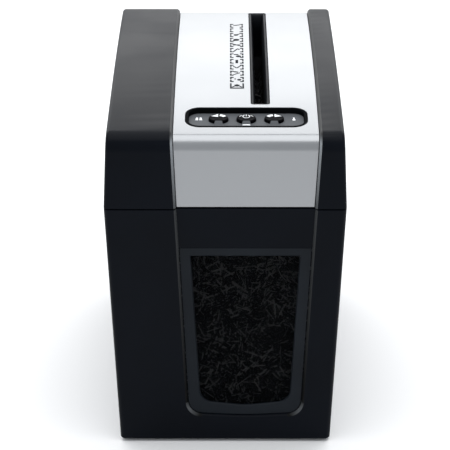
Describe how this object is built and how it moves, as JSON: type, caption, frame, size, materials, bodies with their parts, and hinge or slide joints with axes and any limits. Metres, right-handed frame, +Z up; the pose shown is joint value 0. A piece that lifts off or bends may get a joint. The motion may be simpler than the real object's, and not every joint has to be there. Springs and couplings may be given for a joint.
{
  "type": "paper shredder",
  "caption": "Slimline paper shredder: a lift-off shredding head with a top slot and round buttons, on a tapered waste bin with a smoked window.",
  "frame": {"origin": "on the surface that it stands on, under the middle of the machine", "axes": "+X to the right as the user faces it, +Y to the back, +Z up; the slot and cutters run along Y"},
  "size_m": [0.1844, 0.292, 0.273],
  "materials": {
    "black_shell": "fine-textured moulded black",
    "slate_plastic": "smooth dark slate",
    "smoked_window": "smoked clear plastic",
    "shredded_paper": "thin cut strips",
    "rubber": "matt black rubber",
    "silver_panel": "satin silver paint on plastic",
    "black_plastic": "moulded black",
    "tray_grey": "moulded dark grey",
    "gloss_black": "glossy black",
    "white_lens": "milky light guide",
    "circuit_board": "green solder mask",
    "frame_steel": "zinc-plated sheet and rod",
    "cutter_steel": "hardened dark steel",
    "bronze": "sintered bronze",
    "nylon": "natural nylon"
  },
  "bodies": {
    "bin": {"bin_body": "black_shell", "window_frame": "slate_plastic", "window_pane": "smoked_window", "paper_shreds": "shredded_paper", "foot_front_left": "rubber", "foot_front_right": "rubber", "foot_back_left": "rubber", "foot_back_right": "rubber"},
    "head": {"head_cover": "black_shell", "top_panel": "silver_panel", "slot_throat": "black_plastic", "control_tray": "tray_grey", "lens_bin_full": "white_lens", "lens_overheat": "white_lens", "power_light": "white_lens", "control_board": "circuit_board", "cord_gland": "rubber", "frame_plate_front": "frame_steel", "frame_plate_back": "frame_steel", "gear_plate": "frame_steel", "tie_rod_lower_left": "frame_steel", "tie_rod_lower_right": "frame_steel", "tie_rod_upper_left": "frame_steel", "tie_rod_upper_right": "frame_steel", "gear_pin_first": "frame_steel", "gear_pin_second": "frame_steel", "bush_front_left": "bronze", "bush_back_left": "bronze", "bush_front_right": "bronze", "bush_back_right": "bronze", "head_base": "black_plastic", "stripper_left": "nylon", "stripper_right": "nylon", "motor_can": "frame_steel", "motor_end_cap": "black_plastic", "power_board": "circuit_board", "sensor_switch": "black_plastic", "safety_switch": "black_plastic", "screw_front_left": "frame_steel", "screw_front_right": "frame_steel", "screw_back_left": "frame_steel", "screw_back_right": "frame_steel"},
    "reverse_button": {"button_reverse": "gloss_black"},
    "power_button": {"button_power": "gloss_black"},
    "forward_button": {"button_forward": "gloss_black"},
    "left_cutter": {"cutter_left": "cutter_steel", "sync_gear_left": "cutter_steel", "drive_gear": "cutter_steel"},
    "right_cutter": {"cutter_right": "cutter_steel", "sync_gear_right": "cutter_steel"},
    "second_reduction": {"reduction_gear_second": "nylon"},
    "first_reduction": {"reduction_gear_first": "nylon"},
    "rotor": {"motor_rotor": "cutter_steel", "motor_pinion": "bronze"},
    "flag": {"sensor_flag": "nylon"},
    "plunger": {"safety_plunger": "nylon"}
  },
  "joints": [
    {"name": "head_lift", "type": "slide", "parent": "bin", "child": "head", "axis": [0, 0, 1], "range_m": [0, 0.08]},
    {"name": "reverse_press", "type": "slide", "parent": "head", "child": "reverse_button", "axis": [0, 0, -1], "range_m": [0, 0.001], "stiffness_N_per_m": 900},
    {"name": "power_press", "type": "slide", "parent": "head", "child": "power_button", "axis": [0, 0, -1], "range_m": [0, 0.001], "stiffness_N_per_m": 900},
    {"name": "forward_press", "type": "slide", "parent": "head", "child": "forward_button", "axis": [0, 0, -1], "range_m": [0, 0.001], "stiffness_N_per_m": 900},
    {"name": "left_cutter_spin", "type": "hinge", "parent": "head", "child": "left_cutter", "pos_m": [0.012, 0, 0.206], "axis": [0, 1, 0], "continuous": true},
    {"name": "right_cutter_spin", "type": "hinge", "parent": "head", "child": "right_cutter", "pos_m": [0.043, 0, 0.206], "axis": [0, 1, 0], "continuous": true},
    {"name": "second_reduction_spin", "type": "hinge", "parent": "head", "child": "second_reduction", "pos_m": [-0.01591, 0, 0.22361], "axis": [0, 1, 0], "continuous": true},
    {"name": "first_reduction_spin", "type": "hinge", "parent": "head", "child": "first_reduction", "pos_m": [-0.03525, 0, 0.20067], "axis": [0, 1, 0], "continuous": true},
    {"name": "motor_spin", "type": "hinge", "parent": "head", "child": "rotor", "pos_m": [-0.055, 0, 0.216], "axis": [0, 1, 0], "continuous": true},
    {"name": "flag_swing", "type": "hinge", "parent": "head", "child": "flag", "pos_m": [0.011, 0.0025, 0.243], "axis": [0, 1, 0], "range_deg": [0, 30], "stiffness_Nm_per_rad": 0.002},
    {"name": "plunger_press", "type": "slide", "parent": "head", "child": "plunger", "axis": [0, 0, 1], "range_m": [0, 0.0015], "stiffness_N_per_m": 300}
  ],
  "couplings": [
    {"joint": "right_cutter_spin", "follows": "left_cutter_spin", "ratio": -1},
    {"joint": "second_reduction_spin", "follows": "left_cutter_spin", "ratio": -3.4},
    {"joint": "first_reduction_spin", "follows": "left_cutter_spin", "ratio": 12.92},
    {"joint": "motor_spin", "follows": "left_cutter_spin", "ratio": -51.68}
  ]
}
